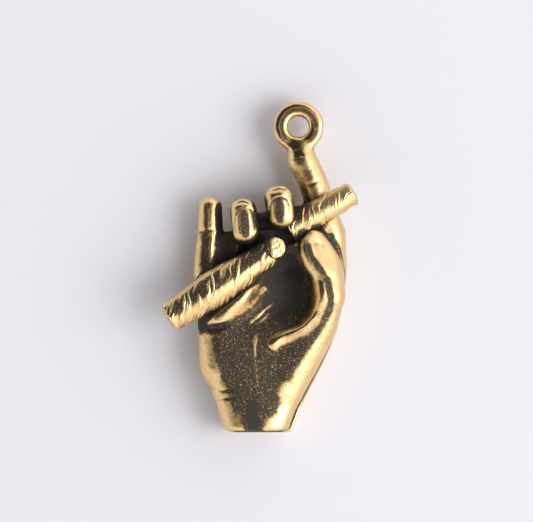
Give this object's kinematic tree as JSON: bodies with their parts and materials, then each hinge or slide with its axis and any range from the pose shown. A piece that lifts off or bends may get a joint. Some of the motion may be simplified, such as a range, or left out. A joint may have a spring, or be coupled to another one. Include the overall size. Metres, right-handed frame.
{
  "type": "hand charm",
  "caption": "Cast hand charm with curled fingers that grip cut lengths of cigar across the palm and the index finger, hung from a plain ring on the index fingertip.",
  "frame": {"origin": "centre of the hanging loop's hole", "axes": "+Z along the loop's hole and out of the palm, +Y from the wrist to the loop, +X to the thumb's side"},
  "size_m": [0.0167, 0.0281, 0.0062],
  "materials": {
    "cast_gold_hand": "cast, gold plated and antiqued dark in the hollows",
    "cast_gold_leaf": "cast leaf texture, gold plated and antiqued dark in the grooves",
    "polished_gold_loop": "cast, gold plated and rubbed smooth"
  },
  "bodies": {
    "root": {"palm_half": "cast_gold_hand", "back_half": "cast_gold_hand", "thumb": "cast_gold_hand", "index_finger": "cast_gold_hand", "middle_finger": "cast_gold_hand", "ring_finger": "cast_gold_hand", "little_finger": "cast_gold_hand", "lower_cigar": "cast_gold_leaf", "cigar_filler": "cast_gold_leaf", "upper_cigar": "cast_gold_leaf", "hanging_loop": "polished_gold_loop", "loop_solder": "polished_gold_loop"}
  },
  "joints": []
}
